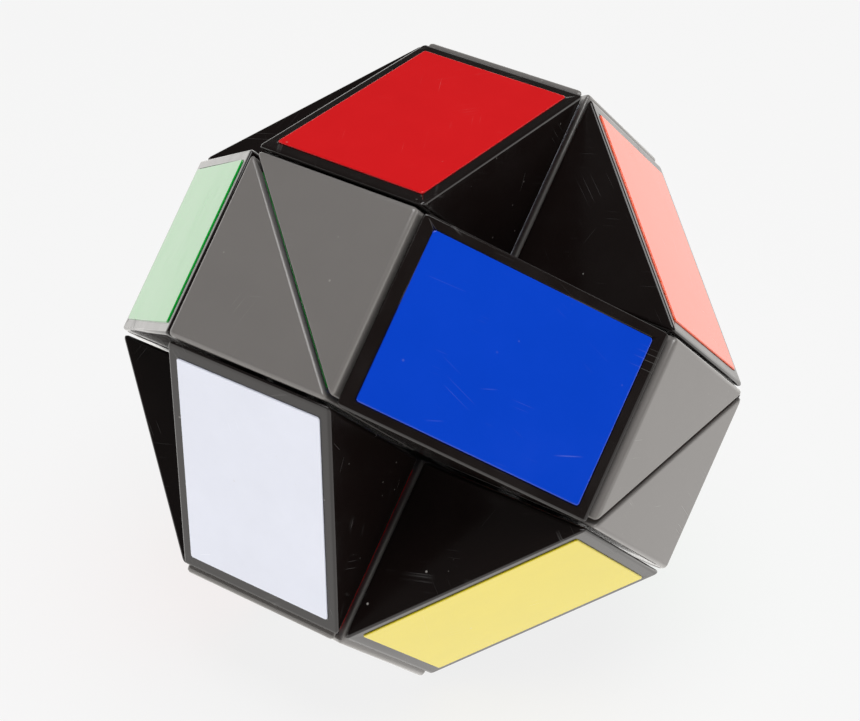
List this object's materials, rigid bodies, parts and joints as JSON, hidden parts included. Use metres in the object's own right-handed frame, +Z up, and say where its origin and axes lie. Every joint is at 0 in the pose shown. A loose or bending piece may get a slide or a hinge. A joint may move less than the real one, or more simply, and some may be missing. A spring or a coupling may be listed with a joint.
{
  "type": "folding snake puzzle",
  "caption": "Chain of triangular wedges on spring-loaded pivots, folded into a hollow-cornered ball, with coloured panels on black and gray shells.",
  "frame": {"origin": "centre of the red panel of wedge_13, which the folded ball stands on", "axes": "+Z up through the opposite red panel, of wedge_01; -Y (the front) out of the white panel of wedge_19; +X out of the right-hand gray square face"},
  "size_m": [0.0598, 0.0564, 0.0564],
  "materials": {
    "black_shell": "gloss black moulded ABS",
    "gray_shell": "gloss mid-gray moulded ABS",
    "red_panel": "gloss red moulded ABS",
    "blue_panel": "gloss blue moulded ABS",
    "orange_panel": "gloss orange moulded ABS",
    "white_panel": "gloss white moulded ABS",
    "green_panel": "gloss green moulded ABS",
    "yellow_panel": "gloss yellow moulded ABS",
    "pivot_steel": "zinc-plated screws, springs and washers"
  },
  "bodies": {
    "wedge_01": {"wedge_01_shell": "black_shell", "wedge_01_panel": "red_panel", "wedge_01_pivots": "pivot_steel"},
    "wedge_02": {"wedge_02_shell": "gray_shell", "wedge_02_panel": "blue_panel"},
    "wedge_03": {"wedge_03_shell": "black_shell", "wedge_03_panel": "blue_panel", "wedge_03_pivots": "pivot_steel"},
    "wedge_04": {"wedge_04_shell": "gray_shell", "wedge_04_panel": "orange_panel"},
    "wedge_05": {"wedge_05_shell": "black_shell", "wedge_05_panel": "orange_panel", "wedge_05_pivots": "pivot_steel"},
    "wedge_06": {"wedge_06_shell": "gray_shell", "wedge_06_panel": "white_panel"},
    "wedge_07": {"wedge_07_shell": "black_shell", "wedge_07_panel": "white_panel", "wedge_07_pivots": "pivot_steel"},
    "wedge_08": {"wedge_08_shell": "gray_shell", "wedge_08_panel": "green_panel"},
    "wedge_09": {"wedge_09_shell": "black_shell", "wedge_09_panel": "green_panel", "wedge_09_pivots": "pivot_steel"},
    "wedge_10": {"wedge_10_shell": "gray_shell", "wedge_10_panel": "yellow_panel"},
    "wedge_11": {"wedge_11_shell": "black_shell", "wedge_11_panel": "yellow_panel", "wedge_11_pivots": "pivot_steel"},
    "wedge_12": {"wedge_12_shell": "gray_shell", "wedge_12_panel": "red_panel"},
    "wedge_13": {"wedge_13_shell": "black_shell", "wedge_13_panel": "red_panel", "wedge_13_pivots": "pivot_steel"},
    "wedge_14": {"wedge_14_shell": "gray_shell", "wedge_14_panel": "blue_panel"},
    "wedge_15": {"wedge_15_shell": "black_shell", "wedge_15_panel": "blue_panel", "wedge_15_pivots": "pivot_steel"},
    "wedge_16": {"wedge_16_shell": "gray_shell", "wedge_16_panel": "orange_panel"},
    "wedge_17": {"wedge_17_shell": "black_shell", "wedge_17_panel": "orange_panel", "wedge_17_pivots": "pivot_steel"},
    "wedge_18": {"wedge_18_shell": "gray_shell", "wedge_18_panel": "white_panel"},
    "wedge_19": {"wedge_19_shell": "black_shell", "wedge_19_panel": "white_panel", "wedge_19_pivots": "pivot_steel"},
    "wedge_20": {"wedge_20_shell": "gray_shell", "wedge_20_panel": "green_panel"},
    "wedge_21": {"wedge_21_shell": "black_shell", "wedge_21_panel": "green_panel", "wedge_21_pivots": "pivot_steel"},
    "wedge_22": {"wedge_22_shell": "gray_shell", "wedge_22_panel": "yellow_panel"},
    "wedge_23": {"wedge_23_shell": "black_shell", "wedge_23_panel": "yellow_panel", "wedge_23_pivots": "pivot_steel"},
    "wedge_24": {"wedge_24_shell": "gray_shell", "wedge_24_panel": "red_panel"}
  },
  "joints": [
    {"name": "pivot_01", "type": "hinge", "parent": "wedge_02", "child": "wedge_01", "pos_m": [0, -0.00707, 0.0494], "axis": [0, 0.7071, 0.7071], "range_deg": [0, 90]},
    {"name": "pivot_02", "type": "hinge", "parent": "wedge_03", "child": "wedge_02", "pos_m": [0.01, -0.01414, 0.04233], "axis": [1, 0, 0], "range_deg": [0, 90]},
    {"name": "pivot_03", "type": "hinge", "parent": "wedge_04", "child": "wedge_03", "pos_m": [0.02, -0.00707, 0.03526], "axis": [0, -0.7071, 0.7071], "range_deg": [0, 90]},
    {"name": "pivot_04", "type": "hinge", "parent": "wedge_05", "child": "wedge_04", "pos_m": [0.02, 0.00707, 0.03526], "axis": [0, 0.7071, 0.7071], "range_deg": [0, 90]},
    {"name": "pivot_05", "type": "hinge", "parent": "wedge_05", "child": "wedge_06", "pos_m": [0.01, 0.01414, 0.04233], "axis": [1, 0, 0], "range_deg": [0, 90]},
    {"name": "pivot_06", "type": "hinge", "parent": "wedge_06", "child": "wedge_07", "pos_m": [0, 0.02121, 0.03526], "axis": [0, 0.7071, -0.7071], "range_deg": [0, 90]},
    {"name": "pivot_07", "type": "hinge", "parent": "wedge_07", "child": "wedge_08", "pos_m": [0, 0.02121, 0.02111], "axis": [0, 0.7071, 0.7071], "range_deg": [0, 90]},
    {"name": "pivot_08", "type": "hinge", "parent": "wedge_08", "child": "wedge_09", "pos_m": [0.01, 0.01414, 0.01404], "axis": [1, 0, 0], "range_deg": [0, 90]},
    {"name": "pivot_09", "type": "hinge", "parent": "wedge_09", "child": "wedge_10", "pos_m": [0.02, 0.00707, 0.02111], "axis": [0, -0.7071, 0.7071], "range_deg": [0, 90]},
    {"name": "pivot_10", "type": "hinge", "parent": "wedge_10", "child": "wedge_11", "pos_m": [0.02, -0.00707, 0.02111], "axis": [0, 0.7071, 0.7071], "range_deg": [0, 90]},
    {"name": "pivot_11", "type": "hinge", "parent": "wedge_11", "child": "wedge_12", "pos_m": [0.01, -0.01414, 0.01404], "axis": [-1, 0, 0], "range_deg": [0, 90]},
    {"name": "pivot_12", "type": "hinge", "parent": "wedge_12", "child": "wedge_13", "pos_m": [0, -0.00707, 0.00697], "axis": [0, -0.7071, 0.7071], "range_deg": [0, 90]},
    {"name": "pivot_13", "type": "hinge", "parent": "wedge_13", "child": "wedge_14", "pos_m": [0, 0.00707, 0.00697], "axis": [0, -0.7071, -0.7071], "range_deg": [0, 90]},
    {"name": "pivot_14", "type": "hinge", "parent": "wedge_14", "child": "wedge_15", "pos_m": [-0.01, 0.01414, 0.01404], "axis": [-1, 0, 0], "range_deg": [0, 90]},
    {"name": "pivot_15", "type": "hinge", "parent": "wedge_15", "child": "wedge_16", "pos_m": [-0.02, 0.00707, 0.02111], "axis": [0, 0.7071, -0.7071], "range_deg": [0, 9]},
    {"name": "pivot_16", "type": "hinge", "parent": "wedge_16", "child": "wedge_17", "pos_m": [-0.02, -0.00707, 0.02111], "axis": [0, -0.7071, -0.7071], "range_deg": [0, 90]},
    {"name": "pivot_17", "type": "hinge", "parent": "wedge_17", "child": "wedge_18", "pos_m": [-0.01, -0.01414, 0.01404], "axis": [1, 0, 0], "range_deg": [0, 22.5]},
    {"name": "pivot_18", "type": "hinge", "parent": "wedge_18", "child": "wedge_19", "pos_m": [0, -0.02121, 0.02111], "axis": [0, -0.7071, 0.7071], "range_deg": [0, 9]},
    {"name": "pivot_19", "type": "hinge", "parent": "wedge_19", "child": "wedge_20", "pos_m": [0, -0.02121, 0.03526], "axis": [0, 0.7071, 0.7071], "range_deg": [0, 90]},
    {"name": "pivot_20", "type": "hinge", "parent": "wedge_20", "child": "wedge_21", "pos_m": [-0.01, -0.01414, 0.04233], "axis": [1, 0, 0], "range_deg": [0, 90]},
    {"name": "pivot_21", "type": "hinge", "parent": "wedge_21", "child": "wedge_22", "pos_m": [-0.02, -0.00707, 0.03526], "axis": [0, -0.7071, 0.7071], "range_deg": [0, 90]},
    {"name": "pivot_22", "type": "hinge", "parent": "wedge_22", "child": "wedge_23", "pos_m": [-0.02, 0.00707, 0.03526], "axis": [0, 0.7071, 0.7071], "range_deg": [0, 90]},
    {"name": "pivot_23", "type": "hinge", "parent": "wedge_23", "child": "wedge_24", "pos_m": [-0.01, 0.01414, 0.04233], "axis": [1, 0, 0], "range_deg": [0, 90]}
  ],
  "couplings": [
    {"joint": "pivot_01", "follows": "pivot_11", "ratio": 1},
    {"joint": "pivot_02", "follows": "pivot_12", "ratio": 1},
    {"joint": "pivot_03", "follows": "pivot_11", "ratio": 1},
    {"joint": "pivot_04", "follows": "pivot_12", "ratio": 1},
    {"joint": "pivot_05", "follows": "pivot_11", "ratio": 1},
    {"joint": "pivot_06", "follows": "pivot_12", "ratio": 1},
    {"joint": "pivot_07", "follows": "pivot_11", "ratio": 1},
    {"joint": "pivot_08", "follows": "pivot_12", "ratio": 1},
    {"joint": "pivot_09", "follows": "pivot_11", "ratio": 1},
    {"joint": "pivot_10", "follows": "pivot_12", "ratio": 1},
    {"joint": "pivot_13", "follows": "pivot_11", "ratio": 1},
    {"joint": "pivot_14", "follows": "pivot_12", "ratio": 1},
    {"joint": "pivot_15", "follows": "pivot_12", "ratio": 0.1},
    {"joint": "pivot_16", "follows": "pivot_11", "ratio": 1},
    {"joint": "pivot_17", "follows": "pivot_12", "ratio": 0.25},
    {"joint": "pivot_18", "follows": "pivot_12", "ratio": 0.1},
    {"joint": "pivot_19", "follows": "pivot_11", "ratio": 1},
    {"joint": "pivot_20", "follows": "pivot_12", "ratio": 1},
    {"joint": "pivot_21", "follows": "pivot_11", "ratio": 1},
    {"joint": "pivot_22", "follows": "pivot_12", "ratio": 1},
    {"joint": "pivot_23", "follows": "pivot_11", "ratio": 1}
  ]
}
